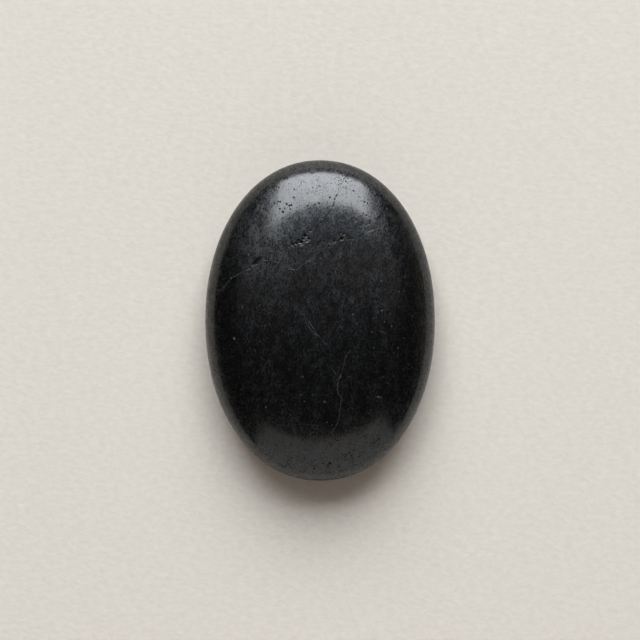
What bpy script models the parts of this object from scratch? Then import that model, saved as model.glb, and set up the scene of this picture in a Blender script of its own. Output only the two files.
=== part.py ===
"""A polished palm stone of shungite: one oval, domed pebble with fine fractures and small chips.

The stone lies flat, with its length along Y, its width along X and its dome up.
The origin is the middle of the small flat patch that it rests on.
"""

import math

import bmesh
import bpy
from mathutils import Matrix, Vector

MM = 0.001

# Driving dimensions, in metres.
LENGTH = 60.0 * MM
WIDTH = 43.0 * MM
GIRDLE_HEIGHT = 5.0 * MM  # the widest line of the stone, above the surface it rests on
DOME_RISE = 9.0 * MM  # from the girdle to the top
BELLY_DROP = 5.06 * MM  # from the girdle to where a belly with no flat patch would end

# How full each curve is: 2 is an ellipse, and a higher power is squarer.
OUTLINE_POWER = 2.09
DOME_POWER = 2.45
BELLY_POWER = 2.7

# Facets of the solid.
SEGMENTS_ROUND = 84
SEGMENTS_UP = 42

# Hairline fractures, as the places that each one passes over, seen from above (x, y).
FRACTURE_WIDTH = 0.34 * MM
FRACTURE_DEPTH = 0.14 * MM
FRACTURE_STEP = 1.4 * MM
FRACTURES = {
    "left_shoulder": ((-20.5, 4.9), (-17.6, 6.9), (-16.3, 8.1), (-12.2, 10.1), (-10.7, 11.2), (-7.2, 11.0)),
    "far_end": ((-5.3, 14.0), (-3.7, 13.6), (-2.3, 14.7), (0.0, 18.0), (2.3, 20.7), (3.0, 22.9), (4.7, 26.0)),
    "middle": ((-5.9, 9.9), (-4.4, 9.7), (-2.7, 10.6), (0.0, 13.8), (3.7, 14.8), (6.5, 15.2), (10.2, 16.8)),
    "centre": ((-2.5, 0.0), (-0.9, -2.3), (1.4, -4.3), (1.2, -6.8), (1.9, -8.5), (3.3, -10.2)),
    "tail": ((6.0, -5.5), (4.6, -7.8), (3.5, -10.6), (3.7, -14.8), (3.0, -19.4), (1.7, -21.3)),
}

# Small chips: (x, y, radius) seen from above.
CHIP_DEPTH_SHARE = 0.55  # of the radius
CHIPS = (
    (-4.9, 13.9, 0.42),
    (-3.9, 14.6, 0.50),
    (-2.9, 15.3, 0.46),
    (-2.1, 16.0, 0.40),
    (-1.3, 16.9, 0.30),
    (4.0, 15.1, 0.34),
    (-5.3, 21.2, 0.32),
    (-5.8, 20.7, 0.26),
    (-4.9, 22.7, 0.24),
    (-6.9, 20.0, 0.26),
    (-8.2, 21.8, 0.28),
    (-0.2, 21.6, 0.24),
    (1.8, 22.7, 0.22),
    (4.1, 25.8, 0.42),
    (1.8, -26.5, 0.40),
    (3.5, -27.0, 0.26),
    (-1.1, -27.6, 0.26),
    (5.3, -24.9, 0.36),
    (10.8, -21.4, 0.30),
    (17.1, 0.9, 0.34),
    (-16.0, -3.3, 0.30),
)


def collection(name):
    made = bpy.data.collections.new(name)
    bpy.context.scene.collection.children.link(made)
    return made


def fullness(share, power):
    """A cosine or sine, bent from a circle's to the given power's."""
    return math.copysign(abs(share) ** (2.0 / power), share)


def stone_point(unit):
    """Where a point of the unit sphere lies on the stone."""
    around = math.atan2(unit.y, unit.x)
    rise = max(-1.0, min(1.0, unit.z))
    reach = math.sqrt(1.0 - rise * rise)
    power, height = (DOME_POWER, DOME_RISE) if rise >= 0.0 else (BELLY_POWER, BELLY_DROP)
    spread = fullness(reach, power)
    return Vector((
        WIDTH / 2 * spread * fullness(math.cos(around), OUTLINE_POWER),
        LENGTH / 2 * spread * fullness(math.sin(around), OUTLINE_POWER),
        max(0.0, GIRDLE_HEIGHT + height * fullness(rise, power)),
    ))


def dome_height(x, y):
    """The height of the dome over the place (x, y)."""
    across = abs(2 * x / WIDTH) ** OUTLINE_POWER
    along = abs(2 * y / LENGTH) ** OUTLINE_POWER
    out = min(1.0, (across + along) ** (1.0 / OUTLINE_POWER))
    return GIRDLE_HEIGHT + DOME_RISE * (1.0 - out ** DOME_POWER) ** (1.0 / DOME_POWER)


def dome_normal(x, y):
    step = 0.05 * MM
    slope_x = (dome_height(x + step, y) - dome_height(x - step, y)) / (2 * step)
    slope_y = (dome_height(x, y + step) - dome_height(x, y - step)) / (2 * step)
    return Vector((-slope_x, -slope_y, 1.0)).normalized()


def over_dome(x, y, lift):
    """The point that stands out from the dome by lift, over the place (x, y)."""
    return Vector((x, y, dome_height(x, y))) + lift * dome_normal(x, y)


def polished_black():
    """Carbon-rich rock with a soft polish: nearly black all through, with a clear gloss."""
    material = bpy.data.materials.new("polished_shungite")
    material.use_nodes = True
    shader = material.node_tree.nodes["Principled BSDF"]
    shader.inputs["Base Color"].default_value = (0.006, 0.006, 0.0065, 1.0)
    shader.inputs["Roughness"].default_value = 0.25
    shader.inputs["IOR"].default_value = 1.6
    return material


def pebble(name, home, material):
    """The whole stone, as a globe whose points move out to the dome and the belly."""
    bm = bmesh.new()
    bmesh.ops.create_uvsphere(bm, u_segments=SEGMENTS_ROUND, v_segments=SEGMENTS_UP, radius=1.0)
    for vertex in bm.verts:
        vertex.co = stone_point(vertex.co)
    mesh = bpy.data.meshes.new(name)
    bm.to_mesh(mesh)
    bm.free()
    mesh.shade_smooth()
    mesh.materials.append(material)
    stone = bpy.data.objects.new(name, mesh)
    home.objects.link(stone)
    return stone


def as_cutter(obj):
    obj.hide_render = True
    obj.display_type = "WIRE"
    return obj


def close_steps(places):
    """The places of a fracture, with others between them so that it follows the dome."""
    steps = [Vector(places[0]) * MM]
    for start, end in zip(places, places[1:]):
        start, end = Vector(start) * MM, Vector(end) * MM
        count = math.ceil((end - start).length / FRACTURE_STEP)
        steps += [start.lerp(end, k / count) for k in range(1, count + 1)]
    return steps


def fracture_cutter(name, places, home):
    """A thin rod that lies half sunk along a fracture and thins out to its two ends."""
    radius = FRACTURE_WIDTH / 2
    steps = close_steps(places)
    curve = bpy.data.curves.new(name, "CURVE")
    curve.dimensions = "3D"
    curve.bevel_depth = radius
    curve.bevel_resolution = 1
    curve.use_fill_caps = True
    line = curve.splines.new("POLY")
    line.points.add(len(steps) - 1)
    for k, (point, step) in enumerate(zip(line.points, steps)):
        ends = min(k, len(steps) - 1 - k)
        thinness = min(1.0, 0.5 + 0.25 * ends)
        point.radius = thinness
        point.co = (*over_dome(step.x, step.y, (radius - FRACTURE_DEPTH) * thinness), 1.0)
    rod = bpy.data.objects.new(name + "_line", curve)
    home.objects.link(rod)
    bpy.context.view_layer.update()
    mesh = bpy.data.meshes.new_from_object(rod.evaluated_get(bpy.context.evaluated_depsgraph_get()))
    bm = bmesh.new()
    bm.from_mesh(mesh)
    bmesh.ops.remove_doubles(bm, verts=bm.verts, dist=0.001 * MM)
    bmesh.ops.recalc_face_normals(bm, faces=bm.faces)
    bm.to_mesh(mesh)
    bm.free()
    cutter = bpy.data.objects.new(name, mesh)
    cutter.matrix_world = rod.matrix_world
    home.objects.link(cutter)
    bpy.data.objects.remove(rod)
    return as_cutter(cutter)


def chip_cutter(name, x, y, radius, home):
    """A lump whose lower end sinks into the dome."""
    bm = bmesh.new()
    bmesh.ops.create_icosphere(bm, subdivisions=1, radius=radius)
    bmesh.ops.rotate(bm, verts=bm.verts, matrix=Matrix.Rotation(x / radius, 3, "Z"))
    mesh = bpy.data.meshes.new(name)
    bm.to_mesh(mesh)
    bm.free()
    lump = bpy.data.objects.new(name, mesh)
    lump.location = over_dome(x, y, radius * (1.0 - CHIP_DEPTH_SHARE))
    home.objects.link(lump)
    return as_cutter(lump)


def main():
    for old in list(bpy.data.objects):
        bpy.data.objects.remove(old)
    stone = pebble("stone", collection("shungite_palm_stone"), polished_black())
    cutters = collection("cutters")
    cutters.hide_render = True
    for name, places in FRACTURES.items():
        fracture_cutter("fracture_" + name, places, cutters)
    for number, (x, y, radius) in enumerate(CHIPS, start=1):
        chip_cutter(f"chip_{number:02d}", x * MM, y * MM, radius * MM, cutters)
    cut = stone.modifiers.new("fractures_and_chips", "BOOLEAN")
    cut.operation = "DIFFERENCE"
    cut.operand_type = "COLLECTION"
    cut.collection = cutters
    cut.solver = "EXACT"


main()
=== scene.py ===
# %% [markdown]
# # A polished palm stone of shungite
#
# Shungite is a black rock made largely of carbon. This piece was ground to a low oval dome and
# polished, so that it sits in the palm. We make it in four steps: the form, the fine damage in
# its surface, the finish, and then the paper, the light and the camera that show it.
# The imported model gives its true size, so that is loaded first and never changed.

import math
import random

import bmesh
import bpy
import numpy as np
from mathutils import Matrix, Vector, noise


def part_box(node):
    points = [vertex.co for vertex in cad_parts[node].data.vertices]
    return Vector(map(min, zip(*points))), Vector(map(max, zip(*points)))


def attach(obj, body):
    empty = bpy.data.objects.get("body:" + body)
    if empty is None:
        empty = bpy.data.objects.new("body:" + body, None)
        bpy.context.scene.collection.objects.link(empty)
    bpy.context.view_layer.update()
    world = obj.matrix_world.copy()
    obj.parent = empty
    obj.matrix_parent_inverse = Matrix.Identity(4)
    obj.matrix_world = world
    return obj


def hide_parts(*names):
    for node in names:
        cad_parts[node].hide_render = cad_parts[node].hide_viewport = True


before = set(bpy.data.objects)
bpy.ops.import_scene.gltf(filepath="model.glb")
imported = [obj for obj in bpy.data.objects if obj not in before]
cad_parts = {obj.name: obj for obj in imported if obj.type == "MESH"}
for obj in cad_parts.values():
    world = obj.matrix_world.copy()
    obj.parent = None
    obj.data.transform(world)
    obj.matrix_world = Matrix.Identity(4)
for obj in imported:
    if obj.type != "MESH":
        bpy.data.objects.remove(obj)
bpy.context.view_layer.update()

# %% [markdown]
# ## The form
#
# Seen from above the stone is an oval, a touch fuller than an ellipse. Seen from the side it is
# a low dome over a shallower belly, and both are fuller than an ellipse too. One family of
# curves draws all three: the superellipse, where a power of 2 is an ellipse and a higher power
# is squarer. Sculpting could make the form as well, but a formula keeps the polish flawless,
# and any bump would show at once in a surface that mirrors its room.

# %% Sizes, in metres
MM = 0.001
stone_low, stone_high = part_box("stone")
HALF_WIDTH = (stone_high.x - stone_low.x) / 2
HALF_LENGTH = (stone_high.y - stone_low.y) / 2
GIRDLE_HEIGHT = 5.0 * MM
DOME_RISE = stone_high.z - GIRDLE_HEIGHT
FLAT_CUT = 0.06 * MM  # how much of the belly's tip is cut off, for the stone to lie on
BELLY_DROP = GIRDLE_HEIGHT + FLAT_CUT
OUTLINE_POWER = 2.09
DOME_POWER = 2.45
BELLY_POWER = 2.7
print(f"stone {2e3 * HALF_WIDTH:.1f} x {2e3 * HALF_LENGTH:.1f} mm, dome {1e3 * DOME_RISE:.1f} mm")


# %% The curve from the girdle to the top
PROFILE_POINTS = 4001  # so many that the curve's length is exact


def profile(power, rise, share):
    """How far out (1 to 0) and how far up a profile is, at a share of its length from the girdle."""
    angle = np.linspace(0.0, math.pi / 2, PROFILE_POINTS)
    out = np.cos(angle).clip(0.0) ** (2 / power)
    up = rise * np.sin(angle) ** (2 / power)
    step = np.hypot(np.diff(out) * (HALF_WIDTH + HALF_LENGTH) / 2, np.diff(up))
    length = np.concatenate(([0.0], np.cumsum(step)))
    return np.interp(share * length[-1], length, out), np.interp(share * length[-1], length, up)


def stone_form(points):
    """Moves points of a unit globe to the polished surface of the stone."""
    latitude = np.arcsin(points[:, 2].clip(-1.0, 1.0)) / (math.pi / 2)
    around = np.arctan2(points[:, 1], points[:, 0])
    dome_out, dome_up = profile(DOME_POWER, DOME_RISE, latitude.clip(0.0, 1.0))
    belly_out, belly_down = profile(BELLY_POWER, BELLY_DROP, (-latitude).clip(0.0, 1.0))
    out = np.where(latitude >= 0.0, dome_out, belly_out)
    bend = 2 / OUTLINE_POWER
    x = HALF_WIDTH * out * np.sign(np.cos(around)) * np.abs(np.cos(around)) ** bend
    y = HALF_LENGTH * out * np.sign(np.sin(around)) * np.abs(np.sin(around)) ** bend
    z = np.where(latitude >= 0.0, GIRDLE_HEIGHT + dome_up, GIRDLE_HEIGHT - belly_down)
    return np.stack([x, y, z.clip(0.0)], axis=1)


def on_dome(places):
    """The points of the dome over places given as (x, y)."""
    x, y = np.asarray(places, float).T
    across, along = np.abs(x / HALF_WIDTH), np.abs(y / HALF_LENGTH)
    out = (across ** OUTLINE_POWER + along ** OUTLINE_POWER) ** (1 / OUTLINE_POWER)
    z = GIRDLE_HEIGHT + DOME_RISE * (1 - out.clip(0, 1) ** DOME_POWER) ** (1 / DOME_POWER)
    return np.stack([x, y, z], axis=1)


print("top of the dome:", on_dome([(0.0, 0.0)])[0])

# %% [markdown]
# ## A globe with even cells
#
# The usual globe gathers its cells at two poles, and one of them would lie in the middle of the
# dome. A cube whose faces are cut into squares and blown up to a globe has cells of nearly one
# size everywhere, so that is the mesh to bend to the stone's form.

# %% Blow up a cube to a globe
CELLS = 72  # along each edge of the cube, which makes a cell about 0.5 mm


def even_globe(cells):
    """A unit globe from a cube. The tangent keeps its cells even out to the cube's corners."""
    bm = bmesh.new()
    bmesh.ops.create_cube(bm, size=2.0)
    bmesh.ops.subdivide_edges(bm, edges=bm.edges, cuts=cells - 1, use_grid_fill=True)
    for vertex in bm.verts:
        vertex.co = Vector([math.tan(c * math.pi / 4) for c in vertex.co]).normalized()
    return bm


globe = even_globe(CELLS)
print("globe:", len(globe.faces), "cells")

# %% [markdown]
# ## Fractures
#
# The rock is brittle, and old fractures cross the polished dome as hairlines. Where one stands
# open, its near wall holds polish dust and shows as a pale thread, and its far wall stays black.
# That dust is put only on the wall that faces the window, so the pale thread is partly a painted
# highlight. Where rock dropped along it there is only a dark step. A texture could paint such
# lines, but a real groove also catches the light rightly from every side.
# Each fracture is a list of the places that it passes, and has its own width, depth and dust.
# Between those places the line wanders a little, as a break does.

# %% Where the fractures run
FRACTURES = {  # name: (width in mm, depth in mm, share of dust and painted highlight, places in mm)
    # from the left rim to the shoulder
    "left_rim": (0.20, 0.046, 0.00, [(-20.9, 5.1), (-20.4, 5.6), (-19.8, 5.8)]),
    "left_rim_strand": (0.20, 0.039, 0.00, [(-20.5, 4.7), (-20.0, 5.1), (-19.6, 5.5)]),
    "shoulder_start": (0.20, 0.028, 0.26, [(-19.3, 5.5), (-18.7, 5.6), (-18.1, 5.9), (-17.4, 6.7),
                                           (-16.5, 7.8)]),
    "shoulder": (0.24, 0.032, 0.16, [(-16.5, 7.8), (-15.9, 8.2), (-15.3, 8.5), (-14.2, 9.1)]),
    "shoulder_open": (0.34, 0.048, 0.16, [(-14.2, 9.1), (-13.4, 9.5), (-12.5, 9.9)]),
    "shoulder_top": (0.26, 0.032, 0.24, [(-12.5, 9.9), (-11.8, 10.3), (-11.1, 10.6)]),
    "shoulder_step": (0.80, 0.090, 0.00, [(-12.7, 10.1), (-12.1, 10.6), (-11.6, 11.0),
                                          (-10.8, 11.6)]),
    "shoulder_curl": (0.20, 0.032, 0.45, [(-9.1, 11.8), (-9.0, 11.1)]),
    "shoulder_curl_top": (0.20, 0.028, 0.22, [(-8.7, 11.6), (-8.3, 11.6), (-7.9, 11.4)]),
    "shoulder_curl_low": (0.20, 0.018, 0.14, [(-8.7, 11.1), (-8.1, 10.9), (-7.7, 10.7),
                                              (-7.1, 11.0)]),
    "shoulder_crackle": (0.24, 0.030, 0.36, [(-10.5, 11.3), (-10.1, 11.1), (-9.7, 11.2)]),
    "left_hair": (0.20, 0.021, 0.13, [(-16.6, 11.3), (-16.1, 11.7), (-15.3, 12.1), (-14.7, 12.6)]),
    "left_dash": (0.20, 0.039, 0.45, [(-14.6, 2.8), (-14.0, 2.1)]),
    "left_dash_low": (0.20, 0.023, 0.09, [(-13.8, 2.4), (-13.2, 1.8)]),
    # the far end
    "far_end": (0.30, 0.008, 0.00, [(-0.9, 16.9), (0.0, 18.0), (1.4, 19.6), (2.3, 20.8), (2.7, 22.2)]),
    "far_end_slit": (0.23, 0.055, 0.00, [(2.7, 22.6), (3.0, 23.1), (3.3, 23.6)]),
    "far_rim": (0.14, 0.022, 0.00, [(3.9, 25.1), (4.4, 26.1), (4.9, 26.9), (5.6, 27.8)]),
    "far_dash": (0.20, 0.025, 0.00, [(0.5, 24.5), (1.4, 24.5)]),
    # under the chipped place, and from there to the right
    "chip_arc_low": (0.20, 0.012, 0.08, [(-5.4, 13.7), (-4.7, 13.5), (-4.0, 13.5)]),
    "chip_arc": (0.24, 0.028, 0.07, [(-3.9, 13.6), (-3.3, 13.9), (-2.8, 14.2)]),
    "chip_arc_end": (0.26, 0.057, 0.85, [(-2.8, 14.4), (-2.4, 14.5), (-2.0, 14.5)]),
    "chip_inner": (0.22, 0.042, 0.32, [(-2.9, 14.7), (-2.6, 15.0), (-2.3, 15.2)]),
    "middle_step": (0.50, 0.060, 0.00, [(0.1, 14.6), (-0.3, 14.2), (-0.5, 13.5)]),
    "middle_step_low": (0.26, 0.023, 0.11, [(0.2, 14.1), (-0.1, 13.7), (-0.3, 13.2)]),
    "middle_step_top": (0.20, 0.018, 0.00, [(0.1, 14.6), (0.8, 14.6), (1.4, 14.5)]),
    "right_blade": (0.24, 0.041, 0.40, [(2.4, 14.0), (2.7, 14.2), (2.9, 14.3)]),
    "right_line": (0.20, 0.015, 0.05, [(3.2, 14.6), (3.8, 14.7), (4.1, 14.8), (4.6, 14.9)]),
    "right_end": (0.20, 0.017, 0.09, [(4.6, 14.9), (5.8, 15.0), (6.7, 14.9), (7.7, 15.5), (8.8, 16.4),
                                      (10.3, 16.9)]),
    "right_strand": (0.20, 0.017, 0.05, [(6.2, 15.6), (7.3, 16.2), (8.2, 17.2), (9.3, 17.9)]),
    # the middle
    "middle_hook": (0.20, 0.033, 0.17, [(-5.9, 9.7), (-5.4, 9.6), (-5.1, 9.4), (-4.4, 9.4)]),
    "middle_left": (0.26, 0.021, 0.13, [(-4.4, 9.4), (-4.0, 9.7), (-3.6, 10.1), (-2.5, 10.8),
                                        (-1.8, 11.2), (-1.4, 11.7), (-0.8, 12.5)]),
    "centre_dash": (0.20, 0.025, 0.24, [(-2.8, 0.1), (-2.4, -0.6)]),
    "centre": (0.20, 0.038, 0.18, [(-2.1, 0.2), (-1.7, -0.6), (-1.1, -1.6), (-0.8, -2.3), (0.0, -3.0),
                                   (0.8, -3.9), (1.5, -4.4)]),
    "centre_strand": (0.20, 0.021, 0.26, [(-2.5, -0.6), (-1.3, -2.1), (-0.5, -3.0)]),
    "centre_faint": (0.20, 0.016, 0.07, [(1.6, -4.5), (1.8, -5.7)]),
    "centre_step": (0.74, 0.084, 0.00, [(0.6, -6.2), (1.1, -7.4), (1.7, -8.5)]),
    "centre_end": (0.20, 0.030, 0.26, [(2.1, -8.9), (2.6, -9.5), (3.1, -10.2)]),
    # the tail to the near end
    "tail_fork": (0.20, 0.025, 0.16, [(3.9, -9.7), (4.2, -8.8), (4.4, -7.9), (4.6, -6.8), (5.3, -5.7),
                                      (5.9, -5.4)]),
    "tail_knot": (0.32, 0.063, 0.30, [(3.9, -9.7), (3.7, -10.2), (3.4, -10.8)]),
    "tail_start": (0.20, 0.032, 0.34, [(3.4, -11.0), (3.2, -11.8), (3.2, -12.7), (3.4, -13.4),
                                       (3.9, -14.2)]),
    "tail": (0.20, 0.032, 0.18, [(3.9, -14.3), (3.8, -15.5), (3.6, -16.8), (3.4, -18.1), (3.2, -19.1),
                                 (2.6, -20.1), (2.0, -21.2)]),
    "right_hair": (0.20, 0.021, 0.11, [(4.2, 5.4), (4.9, 4.4), (5.9, 3.6)]),
    "right_net": (0.20, 0.021, 0.11, [(10.6, -1.8), (12.0, -2.2), (12.3, -3.6), (11.4, -4.6)]),
    "near_end_hair": (0.20, 0.034, 0.00, [(4.4, -25.2), (5.2, -24.7), (6.2, -24.4)]),
}
WANDER = 0.05 * MM  # how far a line strays to either side
STRIDE = 0.35 * MM  # how far apart its points are


def broken_line(places, seed):
    """Points along a fracture on the dome, one each stride, that wander a little to either side."""
    draw = random.Random(seed)
    line = [Vector(place) * MM for place in places]
    points = [line[0]]
    for start, end in zip(line, line[1:]):
        count = max(1, round((end - start).length / STRIDE))
        for k in range(1, count + 1):
            wander = Vector((draw.uniform(-1, 1), draw.uniform(-1, 1))) * WANDER
            points.append(start.lerp(end, k / count) + wander)
    return on_dome([tuple(point) for point in points])


fracture_lines = {
    name: broken_line(places, seed) for seed, (name, (_, _, _, places)) in enumerate(FRACTURES.items())
}
print("fractures:", len(fracture_lines), "with", sum(map(len, fracture_lines.values())), "points")

# %% [markdown]
# ## Chips, pits and proud grains
#
# Where grains were torn out the polish has pits, with rough walls that look black beside the
# mirror of the dome. Grains that are harder than the carbon round them stand proud by a few
# hundredths of a millimetre, and some of them are a paler mineral. What catches the eye is
# listed one by one. The rest is strewn by a seeded draw, so that each run makes the same stone.
# Sculpting them would take hours and could not be changed by a number.

# %% Where the pits and grains are
PITS = [  # x, y, radius, depth: all in mm
    # the chipped place beside the far-end fracture
    (-5.1, 14.0, 0.33, 0.09), (-5.2, 14.3, 0.20, 0.06), (-4.4, 14.2, 0.36, 0.10), (-4.0, 14.8, 0.29, 0.10),
    (-3.9, 14.4, 0.25, 0.08), (-4.2, 14.6, 0.18, 0.06), (-3.4, 14.4, 0.35, 0.10), (-3.3, 14.7, 0.20, 0.07),
    (-3.1, 15.1, 0.32, 0.11), (-2.9, 15.6, 0.38, 0.13), (-2.5, 15.6, 0.26, 0.09), (-2.1, 15.0, 0.25, 0.09),
    (-1.8, 16.5, 0.20, 0.07), (-2.2, 16.8, 0.14, 0.05), (-1.9, 16.1, 0.14, 0.05), (-1.8, 14.0, 0.16, 0.05),
    (-2.5, 13.7, 0.16, 0.05), (-5.8, 13.6, 0.16, 0.05), (-6.0, 13.2, 0.14, 0.04), (-0.1, 17.9, 0.16, 0.05),
    # crackle at the end of the shoulder's fracture
    (-10.1, 10.7, 0.12, 0.05), (-9.7, 11.1, 0.12, 0.05), (-9.9, 10.3, 0.10, 0.04), (-9.5, 10.6, 0.10, 0.04),
    (-7.9, 11.1, 0.16, 0.06), (-5.9, 10.1, 0.16, 0.06), (-5.4, 9.1, 0.16, 0.05), (-5.3, 9.9, 0.12, 0.04),
    # the deep pit to its right
    (4.0, 15.1, 0.38, 0.20), (3.8, 16.1, 0.20, 0.06), (4.4, 15.9, 0.22, 0.07), (3.6, 15.7, 0.18, 0.05),
    (1.6, 14.4, 0.14, 0.05), (2.5, 14.5, 0.20, 0.06), (2.9, 14.7, 0.22, 0.07), (1.7, 13.6, 0.16, 0.05),
    # the far end, where the window is mirrored
    (-4.9, 22.7, 0.20, 0.08), (-5.3, 21.3, 0.22, 0.08), (-5.7, 21.2, 0.19, 0.07), (-6.2, 21.5, 0.21, 0.07),
    (-5.5, 20.5, 0.18, 0.06), (-6.9, 20.0, 0.22, 0.08), (-8.5, 21.7, 0.20, 0.06), (-7.8, 22.0, 0.18, 0.05),
    (-7.4, 21.9, 0.18, 0.06), (-7.5, 20.6, 0.18, 0.05), (-6.6, 20.7, 0.14, 0.04), (-0.2, 21.6, 0.20, 0.08),
    (-0.9, 21.3, 0.14, 0.04), (1.8, 22.7, 0.18, 0.07), (2.7, 22.4, 0.16, 0.06), (6.2, 24.0, 0.18, 0.06),
    (2.5, 21.4, 0.15, 0.04), (1.9, 20.1, 0.14, 0.04), (0.3, 18.9, 0.16, 0.05), (3.4, 25.1, 0.12, 0.04),
    (8.3, 21.9, 0.18, 0.06), (8.8, 21.7, 0.14, 0.05), (8.6, 19.4, 0.18, 0.06), (12.2, 20.8, 0.24, 0.08),
    (-1.4, 24.6, 0.16, 0.05), (-4.8, 24.2, 0.16, 0.05), (-0.1, 24.9, 0.14, 0.04), (7.2, 22.9, 0.12, 0.04),
    # the rough place at the far rim
    (3.4, 25.9, 0.14, 0.04), (3.9, 26.1, 0.16, 0.05), (4.4, 26.3, 0.14, 0.04), (4.8, 25.8, 0.18, 0.05),
    (4.2, 26.9, 0.16, 0.05), (5.2, 26.4, 0.14, 0.04), (3.7, 25.3, 0.12, 0.04), (5.4, 25.7, 0.12, 0.04),
    # the near end
    (1.8, -26.5, 0.34, 0.11), (1.5, -26.9, 0.24, 0.08), (3.5, -27.0, 0.22, 0.10), (-1.1, -27.6, 0.22, 0.07),
    (-0.9, -27.2, 0.16, 0.05), (0.7, -26.6, 0.16, 0.06), (4.8, -24.8, 0.18, 0.05), (5.8, -25.0, 0.20, 0.06),
    (5.4, -24.4, 0.16, 0.05), (8.2, -21.3, 0.16, 0.05), (9.5, -22.7, 0.16, 0.05), (10.9, -21.8, 0.18, 0.06),
    (10.4, -22.3, 0.14, 0.05), (9.9, -21.9, 0.14, 0.05), (-6.4, -27.2, 0.16, 0.05), (2.5, -27.9, 0.14, 0.05),
    # single pits on the flanks
    (-14.0, 2.0, 0.14, 0.04), (18.7, 2.2, 0.14, 0.04), (17.0, 0.9, 0.24, 0.09),
]
GRAINS = [  # x, y, radius, height, how pale: sizes in mm
    (-15.9, -3.4, 0.24, 0.045, 0.38), (-10.1, -1.0, 0.18, 0.025, 0.06), (-15.2, 4.7, 0.14, 0.020, 0.08),
    (-13.2, 12.1, 0.20, 0.030, 0.11), (-11.2, 2.7, 0.18, 0.030, 0.14), (-7.0, -1.9, 0.18, 0.020, 0.06),
    (-3.2, -10.4, 0.21, 0.025, 0.15), (-11.4, -9.3, 0.16, 0.020, 0.06), (-10.6, -7.1, 0.16, 0.020, 0.06),
    (-13.4, -5.7, 0.16, 0.020, 0.06), (-11.3, -14.4, 0.16, 0.020, 0.06), (-10.0, -16.0, 0.20, 0.040, 0.15),
    (-14.7, -12.8, 0.16, 0.020, 0.06), (-9.8, -3.3, 0.14, 0.020, 0.06), (11.4, 1.8, 0.22, 0.030, 0.18),
    (10.5, 2.4, 0.18, 0.020, 0.10), (11.8, -0.3, 0.16, 0.020, 0.16), (13.2, -1.1, 0.18, 0.025, 0.14),
    (15.5, -3.3, 0.18, 0.025, 0.12), (14.4, -5.1, 0.18, 0.025, 0.12), (17.0, -8.7, 0.16, 0.025, 0.08),
    (6.7, -0.6, 0.18, 0.020, 0.06), (9.6, -2.2, 0.20, 0.020, 0.06), (9.9, -5.1, 0.20, 0.020, 0.06),
    (11.3, 7.2, 0.20, 0.030, 0.18), (14.6, 5.3, 0.16, 0.025, 0.16), (0.1, 11.4, 0.18, 0.020, 0.10),
    (13.5, -10.3, 0.16, 0.020, 0.12), (12.6, -11.6, 0.16, 0.020, 0.08), (11.6, -10.4, 0.16, 0.020, 0.08),
    (10.7, -14.1, 0.21, 0.035, 0.31), (11.1, -14.2, 0.16, 0.030, 0.28), (0.8, -15.0, 0.21, 0.025, 0.18),
    (-3.6, -13.7, 0.20, 0.020, 0.08), (-1.4, -13.8, 0.20, 0.020, 0.08), (-2.9, -14.9, 0.16, 0.025, 0.11),
    (1.3, -18.7, 0.18, 0.025, 0.07), (3.9, -14.2, 0.18, 0.025, 0.06), (-17.9, 6.1, 0.14, 0.025, 0.10),
    (-16.5, 7.8, 0.18, 0.030, 0.16), (-2.4, 15.8, 0.16, 0.020, 0.12), (-1.4, 16.5, 0.12, 0.012, 0.05),
    (-3.7, 14.0, 0.12, 0.020, 0.10), (-2.5, 10.8, 0.18, 0.020, 0.08), (-1.0, 12.2, 0.20, 0.020, 0.07),
    (-1.2, -20.6, 0.14, 0.020, 0.06), (0.2, -16.3, 0.14, 0.020, 0.06), (-7.6, -12.0, 0.12, 0.020, 0.06),
    (8.1, 7.4, 0.16, 0.020, 0.06), (-11.0, 2.9, 0.12, 0.020, 0.08),
]
STREWN_PITS = 110
STREWN_GRAINS = 160
STREWN_WITHIN = 0.9  # the share of the dome's area that they keep to, away from the rim


def strewn(count, radii, rise, seed):
    """Small pits or grains, spread evenly over the dome. rise is their height over their radius."""
    draw = random.Random(seed)
    found = []
    while len(found) < count:
        x = draw.uniform(-1.0, 1.0) * HALF_WIDTH / MM
        y = draw.uniform(-1.0, 1.0) * HALF_LENGTH / MM
        radius = draw.uniform(*radii)
        if (x * MM / HALF_WIDTH) ** 2 + (y * MM / HALF_LENGTH) ** 2 < STREWN_WITHIN:
            found.append((x, y, radius, rise * radius))
    return found


# Each mark is: x, y, radius and rise in metres, then how pale it is. A pit's rise is negative.
pits = PITS + strewn(STREWN_PITS, radii=(0.08, 0.14), rise=0.35, seed=11)
FAINT = 0.06  # how pale a strewn grain is
strewn_grains = strewn(STREWN_GRAINS, radii=(0.08, 0.16), rise=0.15, seed=12)
grains = GRAINS + [(*grain, FAINT) for grain in strewn_grains]
marks = [(x * MM, y * MM, radius * MM, -depth * MM, 0.0) for x, y, radius, depth in pits]
marks += [(x * MM, y * MM, radius * MM, height * MM, pale) for x, y, radius, height, pale in grains]
mark_points = on_dome([mark[:2] for mark in marks])
print(len(pits), "pits and", len(grains), "grains")

# %% [markdown]
# ## Finer cells where they are needed
#
# A hairline is less than half as wide as a cell of the globe, and its walls are finer still.
# Cutting every cell to that size would take millions of them, so only the cells near a fracture
# or a mark are cut, in three rounds, each in a narrower zone. New points go back onto the
# globe, so that the form stays exact, and the whole stone keeps under 200,000 triangles.

# %% Cut the cells near the marks
ZONES = (0.66 * MM, 0.36 * MM, 0.17 * MM)  # how near, in each round


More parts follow.
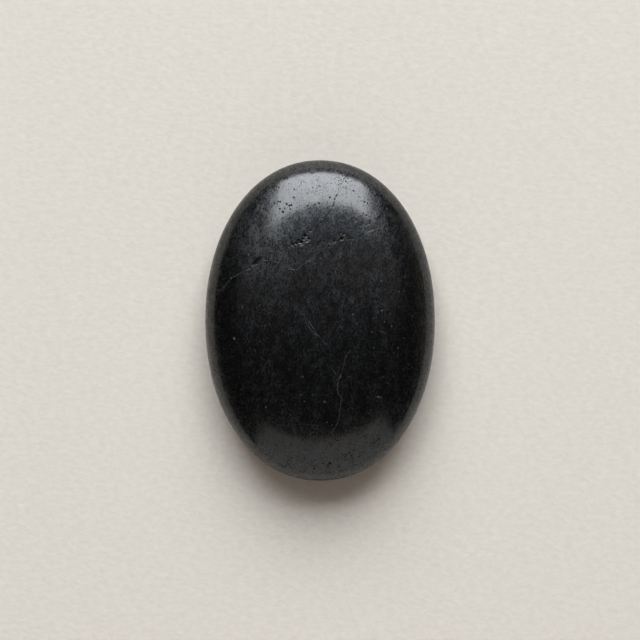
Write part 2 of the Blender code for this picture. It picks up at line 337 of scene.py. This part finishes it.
def distance_to_line(points, line):
    """How far each point is from a line, how far along it, and how far beyond it to the far end."""
    nearest = np.full(len(points), np.inf)
    along, beyond = np.zeros(len(points)), np.zeros(len(points))
    run = 0.0
    for start, end in zip(line, line[1:]):
        stretch = end - start
        length = np.linalg.norm(stretch)
        share = ((points - start) @ stretch / length ** 2).clip(0.0, 1.0)
        offset = points - start - share[:, None] * stretch
        far = np.linalg.norm(offset, axis=1)
        along = np.where(far < nearest, run + share * length, along)
        beyond = np.where(far < nearest, offset[:, 1], beyond)
        nearest = np.minimum(nearest, far)
        run += length
    return nearest, along, beyond


def clearance(points):
    """How far each point is from the nearest fracture or edge of a mark."""
    nearest = np.full(len(points), np.inf)
    for line in fracture_lines.values():
        nearest = np.minimum(nearest, distance_to_line(points, line)[0])
    for centre, (_, _, radius, _, _) in zip(mark_points, marks):
        nearest = np.minimum(nearest, np.linalg.norm(points - centre, axis=1) - radius)
    return nearest


def globe_points(bm):
    return np.array([vertex.co for vertex in bm.verts])


for zone in ZONES:
    near = clearance(stone_form(globe_points(globe))) < zone
    chosen = [edge for edge in globe.edges if near[edge.verts[0].index] and near[edge.verts[1].index]]
    bmesh.ops.subdivide_edges(globe, edges=chosen, cuts=1, use_grid_fill=True)
    for vertex in globe.verts:
        vertex.co.normalize()
    globe.verts.index_update()
    print(f"within {1e3 * zone:.2f} mm: cut {len(chosen)} edges, now {len(globe.faces)} cells")

# %% [markdown]
# ## Relief
#
# All the relief is one number for each point: how far the surface lies over or under the
# perfect form. Hand polishing leaves broad swells of a hundredth of a millimetre or two, which
# bend the mirrored window's edges. Fractures are small V-shaped grooves, and marks are round
# dips or bumps with an uneven edge. Where rock was torn away, and where dust or a pale mineral
# shows, is kept as well, so that the finish can follow it. The dust on a fracture lies on its
# wall that faces the window, so it is partly a painted highlight. Displacing the mesh itself,
# and not only bending its shading, puts the relief into the shape.

# %% Broad swells
SWELLS = ((7.0 * MM, 0.016 * MM), (2.6 * MM, 0.0036 * MM))  # wavelength and height


def rough_number(point, scale, shift=0.0):
    """A smooth random number, about -1 to 1, that changes over the given distance."""
    return noise.noise(Vector(point) / scale + Vector((shift, shift, shift)))


def swell_relief(points):
    return np.array([
        sum(height * rough_number(point, length) for length, height in SWELLS) for point in points
    ])


print("swells:", [f"{1e3 * height:.4f} mm over {1e3 * length:.1f} mm" for length, height in SWELLS])

# %% How deep a fracture cuts
OPENNESS = 1.2 * MM  # how long the open and closed stretches of a fracture are
USUALLY_OPEN = 0.85
OPEN_CHANGE = 0.9  # how much that changes along it
LEAST_OPEN = 0.7  # how open it still is in a closed stretch
TIP_OPEN = 0.35  # how open it is at its very ends
FADING_TIP = 0.8 * MM  # how long its fading ends are


def open_along(along, total, shift):
    """How open a fracture is, at distances along it: it comes and goes, and fades at both ends."""
    change = np.array([rough_number((s, shift * MM, 0.0), OPENNESS) for s in along])
    chance = USUALLY_OPEN + OPEN_CHANGE * change
    tips = (TIP_OPEN + np.minimum(along, total - along) / FADING_TIP).clip(0.0, 1.0)
    return chance.clip(LEAST_OPEN, 1.0) * tips


def fracture_cut(points, name, shift):
    """A fracture's depth at each point, how open it is (0 to 1), and how much it is on its lit wall."""
    width, depth, _, _ = FRACTURES[name]
    line = fracture_lines[name]
    middle, reach = line.mean(axis=0), np.ptp(line, axis=0).max()
    around = np.flatnonzero(np.abs(points - middle).max(axis=1) < reach)
    far, along, beyond = distance_to_line(points[around], line)
    close = far < width * MM
    around, far, along, beyond = around[close], far[close], along[close], beyond[close]
    total = np.linalg.norm(np.diff(line, axis=0), axis=1).sum()
    openness = open_along(along, total, shift)
    half = width * MM / 2 * openness ** 0.5
    side = (1 - far / half).clip(0.0)
    cut, core, lit_wall = np.zeros(len(points)), np.zeros(len(points)), np.zeros(len(points))
    cut[around] = depth * MM * openness * side
    core[around] = openness * side ** 0.5
    # the wall that faces the window, where the dust is painted pale as a highlight
    lit_wall[around] = (0.5 - beyond / half).clip(0.0, 1.0)
    return cut, core, lit_wall


print("deepest fracture:", max(depth for _, depth, _, _ in FRACTURES.values()), "mm")

# %% How high or deep a mark is
UNEVEN = 0.22 * MM  # size of the steps in an uneven edge
RAGGED = 0.45  # how much those steps change a mark's radius
WIDEST = 1.5  # no edge lies farther out, in radii
CAP_POWER = 1.5  # a higher power makes a mark more pointed


def mark_cap(points, centre, radius):
    """The dome of a round mark, from 1 in its middle to 0 at its uneven edge, and where it is."""
    near = np.flatnonzero(np.abs(points - centre).max(axis=1) < WIDEST * radius)
    change = [RAGGED * rough_number(points[k], UNEVEN, shift=3.0) for k in near]
    edges = np.array([radius * (1.0 + more) for more in change])
    share = np.linalg.norm(points[near] - centre, axis=1) / edges
    return near, (1.0 - share ** 2).clip(0.0) ** CAP_POWER


print("deepest pit:", max(depth for *_, depth in PITS), "mm")
print("highest grain:", max(height for *_, height, _ in GRAINS), "mm")

# %% All the relief together
TORN_WALL = 0.95  # how black the torn wall of a fracture is
PALE_POWER = 0.5  # a lower power spreads a mark's paleness farther towards its edge
TORN_POWER = 0.4  # and so for how torn it is


def surface_of(points):
    """The relief of each point, how torn it is, and how pale it is."""
    rise, torn, pale = np.zeros(len(points)), np.zeros(len(points)), np.zeros(len(points))
    for shift, (name, (_, _, dust_and_highlight, _)) in enumerate(FRACTURES.items()):
        cut, core, lit_wall = fracture_cut(points, name, shift)
        rise = np.minimum(rise, -cut)
        # On an open fracture the pale dust goes only on the lit wall, as a painted highlight, and the torn
        # finish on the far wall.
        torn = np.maximum(torn, TORN_WALL * core * (1 - lit_wall if dust_and_highlight else 1.0))
        pale = np.maximum(pale, dust_and_highlight * core * lit_wall)
    for centre, (_, _, radius, height, paleness) in zip(mark_points, marks):
        near, cap = mark_cap(points, centre, radius)
        larger = np.abs(height * cap) > np.abs(rise[near])
        rise[near] = np.where(larger, height * cap, rise[near])
        pale[near] = np.maximum(pale[near], paleness * cap ** PALE_POWER)
        if height < 0:
            torn[near] = np.maximum(torn[near], cap ** TORN_POWER)
    return swell_relief(points) + rise, torn, pale


relief_at_top = surface_of(on_dome([(0.0, 0.0)]))[0][0]
print(f"relief at the top of the dome: {1e3 * relief_at_top:.3f} mm")

# %% [markdown]
# The polish is not equally clear all over: some patches were left hazier, and a few came out
# clearer. Each is a soft oval, and the finish reads their sum later.

# %% Hazier and clearer patches
HAZE_PATCHES = [  # x, y, half width, half length in mm, then how much more haze
    (-13.4, 18.6, 1.8, 2.6, 0.8), (-13.6, 15.4, 2.2, 3.0, 0.9), (-10.4, 13.6, 2.6, 2.2, 0.8),
    (-10.4, 9.6, 4.6, 1.7, 1.3), (-11.2, 4.4, 3.4, 4.0, 0.4), (-7.6, 16.0, 1.6, 1.6, 0.5),
    (-5.2, 11.8, 2.4, 1.6, -0.4), (11.2, 2.2, 1.8, 3.6, 0.8), (4.2, 1.8, 5.2, 4.6, 0.3),
    (6.4, 18.8, 2.8, 1.8, -0.3), (0.8, 17.9, 6.4, 1.5, -0.3), (-2.2, 14.6, 3.4, 1.6, -0.45),
    (10.0, 13.4, 1.6, 2.2, -0.3), (15.6, -1.0, 2.0, 4.2, -0.4), (-6.8, -16.6, 2.2, 3.4, 0.5),
    (5.4, 15.4, 3.0, 2.2, -0.35), (7.6, 13.0, 1.6, 2.0, -0.3), (-13.9, 11.3, 1.7, 1.5, -0.9),
    (-15.7, 6.6, 1.7, 1.7, -0.5), (-10.6, 5.6, 1.2, 1.4, -0.4), (-7.4, 0.9, 1.2, 3.0, -0.4),
    (1.0, -18.4, 3.2, 3.4, -0.45), (12.0, -16.6, 1.6, 3.0, -0.3), (-11.6, 20.2, 1.6, 1.8, 0.7),
    (12.4, 17.0, 1.6, 3.4, 0.5), (16.6, 8.0, 1.4, 3.4, 0.6), (-0.6, 9.4, 4.0, 2.4, -0.25),
    (-9.8, 22.4, 1.5, 1.6, 0.6), (10.2, 24.0, 1.4, 1.6, 0.6), (11.4, 19.6, 1.4, 1.6, 0.3),
    (2.8, -22.2, 2.6, 2.0, -0.5), (-0.5, -2.4, 1.5, 1.5, -0.5), (10.4, 12.0, 1.6, 1.8, -0.4),
    (-0.4, 15.8, 6.0, 1.6, -0.3),
]


def patch_haze(points):
    haze = np.zeros(len(points))
    for x, y, half_width, half_length, more in HAZE_PATCHES:
        across = (points[:, 0] / MM - x) / half_width
        along = (points[:, 1] / MM - y) / half_length
        haze += more * np.exp(-(across ** 2 + along ** 2)) * (points[:, 2] > GIRDLE_HEIGHT)
    return haze


print(len(HAZE_PATCHES), "patches, and", sum(more < 0 for *_, more in HAZE_PATCHES), "are clearer")

# %% [markdown]
# The relief moves each point along the surface's own direction there. The flat patch that the
# stone rests on stays as it is.

# %% Make the stone's mesh
STILL_BELOW = 0.05 * MM  # there is no relief lower than this


def outward(points, bm):
    """Directions out of the perfect form, from the faces round each point."""
    for vertex, point in zip(bm.verts, points):
        vertex.co = point
    bm.normal_update()
    return np.array([vertex.normal for vertex in bm.verts])


perfect = stone_form(globe_points(globe))
directions = outward(perfect, globe)
relief, torn, pale = surface_of(perfect)
relief[perfect[:, 2] < STILL_BELOW] = 0.0
shaped = perfect + relief[:, None] * directions
shaped[:, 2] = shaped[:, 2].clip(0.0)
for vertex, point in zip(globe.verts, shaped):
    vertex.co = point
stone_mesh = bpy.data.meshes.new("polished_stone")
globe.to_mesh(stone_mesh)
globe.free()
stone_mesh.shade_smooth()
for name, values in (("torn", torn), ("pale", pale), ("more_haze", patch_haze(perfect))):
    stone_mesh.attributes.new(name, "FLOAT", "POINT").data.foreach_set("value", values)
stone = bpy.data.objects.new("polished_stone", stone_mesh)
bpy.context.scene.collection.objects.link(stone)
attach(stone, "root")
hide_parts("stone")
triangles = sum(len(face.vertices) - 2 for face in stone_mesh.polygons)
print(f"stone: {triangles} triangles, deepest relief {1e3 * relief.min():.3f} mm")

# %% [markdown]
# ## Helpers for every finish
#
# Colours are picked as sRGB hex values, and shaders want linear numbers, so one function turns
# one into the other. Another adds a node: it sets what is given, and links what is a socket.
# The last starts a material with nothing in it but its output.

# %% Colour and node helpers
def colour(hex_code):
    """Linear red, green, blue and alpha from a code such as #D3CFC6."""
    parts = [int(hex_code[k:k + 2], 16) / 255 for k in (1, 3, 5)]
    return [c / 12.92 if c <= 0.04045 else ((c + 0.055) / 1.055) ** 2.4 for c in parts] + [1.0]


def add_node(tree, kind, inputs=None, **settings):
    """Adds a node. Each input is given a value, or a socket to link from."""
    node = tree.nodes.new(kind)
    for name, value in settings.items():
        setattr(node, name, value)
    for socket, value in (inputs or {}).items():
        if isinstance(value, bpy.types.NodeSocket):
            tree.links.new(value, node.inputs[socket])
        else:
            node.inputs[socket].default_value = value
    return node


def new_material(name):
    """An empty material, its node tree and its output node."""
    material = bpy.data.materials.new(name)
    material.use_nodes = True
    material.node_tree.nodes.clear()
    return material, material.node_tree, add_node(material.node_tree, "ShaderNodeOutputMaterial")


print("a paper white is", [round(c, 3) for c in colour("#D3CFC6")])

# %% [markdown]
# ## Polished shungite
#
# Carbon takes up nearly all light, so the body colour is as dark as stone gets, and what the
# eye sees is the mirror of the room in the polish. The index of refraction lies between those
# of quartz, 1.5, and of carbon, 2, and 1.7 suits this piece. The polish is a patchwork finer
# than the eye can see: hard grains take a clear polish, the carbon between them stays hazy,
# and open pores mirror next to nothing. So each spot is a mix of a clear gloss, a hazy gloss
# and an unpolished black, which gives a highlight both its clear core and the soft glow round
# it. One gloss of a middling roughness would give neither.
#
# Three noises set the shares: pores, clouds of pores, and streaks that the polishing strokes
# drew along the stone. Where pores crowd there is also less haze. In the highlight that evens
# out what the pores take away, and in the half light it adds to it, so the grain shows most
# where the stone is dim, as it does on the real one.

# %% Grain of the polish
PORE = 0.28  # mm across; the real ones are finer, and too fine to show
PORE_CLOUD = 1.1  # mm across a cloud of pores
STREAK = 3.0  # mm across a streak


def polish_grain(tree):
    """The noises for pores, clouds of pores and streaks, each drawn out along the stone."""
    place = add_node(tree, "ShaderNodeTexCoord").outputs["Object"]
    in_mm = add_node(tree, "ShaderNodeVectorMath", {0: place, "Scale": 1 / MM},
                     operation="SCALE").outputs[0]
    grain = []
    for size, squeeze, detail in ((PORE, 0.6, 1.0), (PORE_CLOUD, 0.6, 3.0), (STREAK, 0.4, 4.0)):
        drawn = add_node(tree, "ShaderNodeVectorMath", {0: in_mm, 1: (1.0, squeeze, 1.0)},
                         operation="MULTIPLY").outputs[0]
        grain.append(add_node(tree, "ShaderNodeTexNoise",
                              {"Vector": drawn, "Scale": 1 / size, "Detail": detail}).outputs[0])
    return grain


print("grain:", PORE, PORE_CLOUD, "and", STREAK, "mm across")

# %% Where the polish is hazy, and where it is dull
HAZE_SHARE = 0.375
FEW, MANY = 0.3, 0.7  # the noise values between which the haze changes
ALWAYS_DULL = 0.04  # the share that is unpolished even between the pores


def hazy_share(tree, pores, clouds, streaks):
    """How much of the polish is hazy: more in its patches and streaks, less where pores crowd."""
    haze = add_node(tree, "ShaderNodeAttribute", attribute_name="more_haze").outputs["Fac"]
    haze = add_node(tree, "ShaderNodeMath", {0: haze, 1: HAZE_SHARE, 2: HAZE_SHARE},
                    operation="MULTIPLY_ADD").outputs[0]
    changes = ((pores, 1.95, 0.05), (clouds, 1.6, 0.4), (streaks, 0.6, 1.4))
    for texture, where_few, where_many in changes:
        factor = add_node(tree, "ShaderNodeMapRange",
                          {"Value": texture, "From Min": FEW, "From Max": MANY,
                           "To Min": where_few, "To Max": where_many}).outputs[0]
        haze = add_node(tree, "ShaderNodeMath", {0: haze, 1: factor}, operation="MULTIPLY").outputs[0]
    return haze


def dull_share(tree, pores, clouds):
    """How much is left unpolished: a little everywhere, and most in pores and their clouds."""
    dull = ALWAYS_DULL
    for texture, starts, ends, most in ((pores, 0.50, 0.75, 0.62), (clouds, 0.40, 0.75, 0.30)):
        share = add_node(tree, "ShaderNodeMapRange",
                         {"Value": texture, "From Min": starts, "From Max": ends,
                          "To Max": most}).outputs[0]
        dull = add_node(tree, "ShaderNodeMath", {0: dull, 1: share}, operation="ADD").outputs[0]
    return dull


print(f"hazy: {HAZE_SHARE:.0%} of the polish, before patches and grain")

# %% Finish of the stone
CLEAR_ROUGHNESS = 0.15
HAZY_ROUGHNESS = 0.38
FACET = 0.006 * MM  # how much the pores roughen the polish
CARBON_BLACK = "#040404"


def polished_shungite():
    material, tree, output = new_material("polished_shungite")
    pores, clouds, streaks = polish_grain(tree)
    haze = hazy_share(tree, pores, clouds, streaks)
    dull = dull_share(tree, pores, clouds)
    facets = add_node(tree, "ShaderNodeBump",
                      {"Strength": 1.0, "Distance": FACET, "Height": pores}).outputs[0]
    carbon = {"Base Color": colour(CARBON_BLACK), "IOR": 1.7, "Normal": facets}
    clear = add_node(tree, "ShaderNodeBsdfPrincipled", {**carbon, "Roughness": CLEAR_ROUGHNESS})
    hazy = add_node(tree, "ShaderNodeBsdfPrincipled",
                    {**carbon, "Roughness": HAZY_ROUGHNESS, "Specular Tint": colour("#F4F8FF")})
    unpolished = add_node(tree, "ShaderNodeBsdfPrincipled",
                          {"Base Color": colour(CARBON_BLACK), "Roughness": 0.6,
                           "Specular IOR Level": 0.06})
    torn = add_node(tree, "ShaderNodeBsdfPrincipled",
                    {"Base Color": colour("#050505"), "Roughness": 0.8, "Specular IOR Level": 0.05})
    # Pale mineral in the grains, and the fracture dust that is partly a painted highlight on walls facing
    # the window
    pale = add_node(tree, "ShaderNodeBsdfPrincipled",
                    {"Base Color": colour("#949495"), "Roughness": 0.5})

    skin = add_node(tree, "ShaderNodeMixShader", {0: haze, 1: clear.outputs[0], 2: hazy.outputs[0]})
    skin = add_node(tree, "ShaderNodeMixShader",
                    {0: dull, 1: skin.outputs[0], 2: unpolished.outputs[0]})
    for name, shader in (("torn", torn), ("pale", pale)):
        share = add_node(tree, "ShaderNodeAttribute", attribute_name=name).outputs["Fac"]
        skin = add_node(tree, "ShaderNodeMixShader",
                        {0: share, 1: skin.outputs[0], 2: shader.outputs[0]})
    tree.links.new(skin.outputs[0], output.inputs["Surface"])
    return material


stone_mesh.materials.append(polished_shungite())
print("stone wears", stone_mesh.materials[0].name)

# %% [markdown]
# ## The paper
#
# The stone lies on off-white paper with a faint tooth. It is only the stage: it gives the
# shadow, and the polished rim mirrors it all round. So it is one big sheet, and its tooth is a
# bump that is too low to need real geometry. Paper looks matt from above but has a sheen at
# low angles, which is how the far rim sees it. A thin sheet also lets light creep through into
# its own shadow, which warms it, and a weak glow of the paper stands in for that.

# %% Paper floor
PAPER_SIDE = 6.0
TOOTH = 0.77  # mm across; fine drawing paper has about this
TOOTH_HEIGHT = 0.03 * MM
TOOTH_SQUEEZE = 0.55  # draws the tooth out across the sheet
GLOW_THROUGH = 0.029  # the light that creeps through the sheet


def tooth_paper():
    material, tree, output = new_material("tooth_paper")
    place = add_node(tree, "ShaderNodeTexCoord").outputs["Object"]
    in_mm = add_node(tree, "ShaderNodeVectorMath", {0: place, "Scale": 1 / MM},
                     operation="SCALE").outputs[0]
    laid = add_node(tree, "ShaderNodeVectorMath", {0: in_mm, 1: (TOOTH_SQUEEZE, 1.0, 1.0)},
                    operation="MULTIPLY").outputs[0]
    tooth = add_node(tree, "ShaderNodeTexNoise",
                     {"Vector": laid, "Scale": 1 / TOOTH, "Detail": 3.0, "Distortion": 0.7}).outputs[0]
    tone = add_node(tree, "ShaderNodeMix",
                    {"Factor": tooth, 6: colour("#BEB9B0"), 7: colour("#D3CFC6")},
                    data_type="RGBA").outputs[2]
    bump = add_node(tree, "ShaderNodeBump",
                    {"Strength": 1.0, "Distance": TOOTH_HEIGHT, "Height": tooth}).outputs[0]
    shader = add_node(tree, "ShaderNodeBsdfPrincipled",
                      {"Base Color": tone, "Roughness": 0.6, "Specular IOR Level": 0.5,
                       "Emission Color": colour("#FFC49C"), "Emission Strength": GLOW_THROUGH,
                       "Normal": bump})
    tree.links.new(shader.outputs[0], output.inputs["Surface"])
    return material


bpy.ops.mesh.primitive_plane_add(size=PAPER_SIDE, location=(0.0, 0.0, 0.0))
paper = bpy.context.object
paper.name = "paper"
paper.data.materials.append(tooth_paper())
print("paper:", PAPER_SIDE, "m square")

# %% [markdown]
# ## Light
#
# A black mirror shows its lamps more than its own colour, so the lamps are placed by what the
# dome should mirror. A tall window of soft light stands beyond the far end, over a stretch of
# pale wall. A pale card at the near end lifts the rim there. The ceiling is dim and warm, and
# near the window the sky lends it a cool strip. The walls at the sides and behind are dimmer
# still. Spot lamps or a picture of a room would light the stone as well, but only panels can
# be shaped one by one.
#
# Each is a flat panel, described by the directions that it fills as seen from the stone: how
# high its lower and upper edges are, and how wide it is for its distance.

# %% How a panel is turned
def panel_turn(axis, upward):
    """The turn that points a panel's back along axis and its top edge upward."""
    return Matrix((upward.cross(axis), upward, axis)).transposed().to_euler()


print("a panel right overhead turns by", panel_turn(Vector((0, 0, 1)), Vector((0, 1, 0)))[:])

# %% How a panel glows
def fading_glow(tree, tint, soft, upper_share, sag, slant, taper):
    """Light that fades towards a panel's edges. What each value does, add_panel says."""
    place = add_node(tree, "ShaderNodeNewGeometry").outputs["Parametric"]
    sides = add_node(tree, "ShaderNodeSeparateXYZ", {0: place}).outputs
    up = sides["Y"]
    squeeze = add_node(tree, "ShaderNodeMath", {0: up, 1: -taper, 2: 1.0 + taper},
                       operation="MULTIPLY_ADD").outputs[0]
    off_centre = add_node(tree, "ShaderNodeMath", {0: sides["X"], 1: 0.5},
                          operation="SUBTRACT").outputs[0]
    left = add_node(tree, "ShaderNodeMath", {0: off_centre, 1: squeeze, 2: 0.5},
                    operation="MULTIPLY_ADD").outputs[0]
    right = add_node(tree, "ShaderNodeMath", {0: 1.0, 1: left}, operation="SUBTRACT").outputs[0]
    bow = add_node(tree, "ShaderNodeMath", {0: left, 1: right}, operation="MULTIPLY").outputs[0]
    hung = add_node(tree, "ShaderNodeMath", {0: bow, 1: 4 * sag, 2: up},
                    operation="MULTIPLY_ADD").outputs[0]
    hung = add_node(tree, "ShaderNodeMath", {0: right, 1: slant, 2: hung},
                    operation="MULTIPLY_ADD").outputs[0]
    level = add_node(tree, "ShaderNodeMapRange",
                     {"Value": up, "To Min": 1.0, "To Max": upper_share}).outputs[0]
    lower_fade, upper_fade, side_fade = soft
    fades = ((up, 0.0, lower_fade), (hung, 1.0, 1.0 - upper_fade), (left, 0.0, side_fade),
             (left, 1.0, 1.0 - side_fade))
    for side, dark, bright in fades:
        fade = add_node(tree, "ShaderNodeMapRange",
                        {"Value": side, "From Min": dark, "From Max": bright},
                        interpolation_type="SMOOTHSTEP").outputs[0]
        level = add_node(tree, "ShaderNodeMath", {0: level, 1: fade}, operation="MULTIPLY").outputs[0]
    glow = add_node(tree, "ShaderNodeEmission", {"Color": colour(tint), "Strength": level})
    add_node(tree, "ShaderNodeOutputLight", {"Surface": glow.outputs[0]})


# %% A panel of light
def add_panel(name, azimuth, facing, edges, half_width, distance, radiance, tint,
              soft, upper_share=1.0, sag=0.0, slant=0.0, taper=0.0):
    """A panel at a distance in metres, square to a direction: azimuth from +Y, facing degrees up.

    edges are the heights of its lower and upper edge in degrees, half_width is a share of the
    distance, and soft is how far its lower, upper and side edges fade, as shares of its size.
    upper_share is how bright its top is, compared with its bottom, sag is how far the middle
    of its top edge hangs down, slant is how far the right end of that edge does, and taper is
    how much narrower its bottom is.
    """
    lamp = bpy.data.lights.new(name, "AREA")
    lamp.shape = "RECTANGLE"
    low, high = (math.tan(math.radians(edge - facing)) * distance for edge in edges)
    lamp.size = 2 * half_width * distance
    lamp.size_y = high - low
    lamp.energy = radiance * math.pi * lamp.size * lamp.size_y
    lamp.use_nodes = True
    lamp.node_tree.nodes.clear()
    fading_glow(lamp.node_tree, tint, soft, upper_share, sag, slant, taper)

    turn, lift = math.radians(azimuth), math.radians(facing)
    axis = Vector((math.sin(turn) * math.cos(lift), math.cos(turn) * math.cos(lift), math.sin(lift)))
    upward = Vector((-math.sin(turn) * math.sin(lift), -math.cos(turn) * math.sin(lift),
                     math.cos(lift)))
    panel = bpy.data.objects.new(name, lamp)
    bpy.context.scene.collection.objects.link(panel)
    panel.location = axis * distance + upward * (low + high) / 2
    panel.rotation_euler = panel_turn(axis, upward)
    panel.visible_camera = False


# %% [markdown]
# A panel hides what lies in its own plane when the polish mirrors it sharply, so the strip of
# sky light hangs a little lower than the ceiling.

# %% The window, the room and the card
# Each has its name, azimuth, facing, edges, half width, distance, radiance and tint, then its fades.
add_panel("window", 1.5, 17, (13.0, 68.2), 0.74, 2.0, 9.95, "#F9FCFF", soft=(0.125, 0.035, 0.16),
          upper_share=0.72, sag=0.17, slant=0.22, taper=0.22)
add_panel("wall_under_window", 1.5, 7, (0, 15), 0.85, 1.9, 0.40, "#F8FAF6", soft=(0.01, 0.20, 0.20))
add_panel("near_card", 177, 0, (0.5, 56.2), 1.12, 0.7, 0.77, "#FBF8F4", soft=(0.02, 0.012, 0.04),
          upper_share=0.78)
add_panel("ceiling", 0, 90, (50.8, 93), 0.96, 2.5, 0.31, "#FFF7F2", soft=(0.004, 0.27, 0.10),
          upper_share=0.59)
add_panel("sky_on_ceiling", 1.5, 90, (57, 77), 0.64, 2.4, 0.26, "#88D4FF", soft=(0.3, 0.6, 0.3))
add_panel("brown_wall", 180, 45, (40, 64), 0.90, 1.6, 0.06, "#F0DFC0", soft=(0.10, 0.10, 0.25))
add_panel("right_wall", 80, 15, (0, 42), 0.74, 1.6, 0.13, "#EBE9CC", soft=(0.01, 0.45, 0.35), slant=0.35)
add_panel("left_wall", -112, 8, (0, 24), 0.40, 1.6, 0.09, "#ECE7C8", soft=(0.01, 0.60, 0.40))

# %% [markdown]
# The rest of the room is dark, because the dome mirrors nothing there. Only a camera that looks
# past the paper's edge sees a pale backdrop.

# %% The room around
world = bpy.data.worlds.new("room")
bpy.context.scene.world = world
world.use_nodes = True
room = world.node_tree
room.nodes.clear()
dark = add_node(room, "ShaderNodeBackground", {"Strength": 0.0})
backdrop = add_node(room, "ShaderNodeBackground", {"Color": colour("#D9D6CE"), "Strength": 1.0})
seen = add_node(room, "ShaderNodeLightPath").outputs["Is Camera Ray"]
either = add_node(room, "ShaderNodeMixShader",
                  {0: seen, 1: dark.outputs[0], 2: backdrop.outputs[0]})
add_node(room, "ShaderNodeOutputWorld", {"Surface": either.outputs[0]})
print("world:", world.name)

# %% [markdown]
# ## The camera
#
# The stone is seen from straight above, from half a metre, through a long lens that keeps its
# outline true. The frame is 120 mm wide at the girdle, twice the stone's length.

# %% Camera
CAMERA_HEIGHT = 0.5  # above the girdle
FRAME_WIDTH = 0.1199
AIM = (-0.02 * MM, 0.08 * MM)  # the middle of the frame
lens = bpy.data.cameras.new("camera")
lens.sensor_width = 36.0
lens.lens = lens.sensor_width * CAMERA_HEIGHT / FRAME_WIDTH
camera = bpy.data.objects.new("camera", lens)
camera.location = (*AIM, GIRDLE_HEIGHT + CAMERA_HEIGHT)
bpy.context.scene.collection.objects.link(camera)
bpy.context.scene.camera = camera
bpy.context.scene.view_settings.view_transform = "Standard"
print(f"lens {lens.lens:.0f} mm")
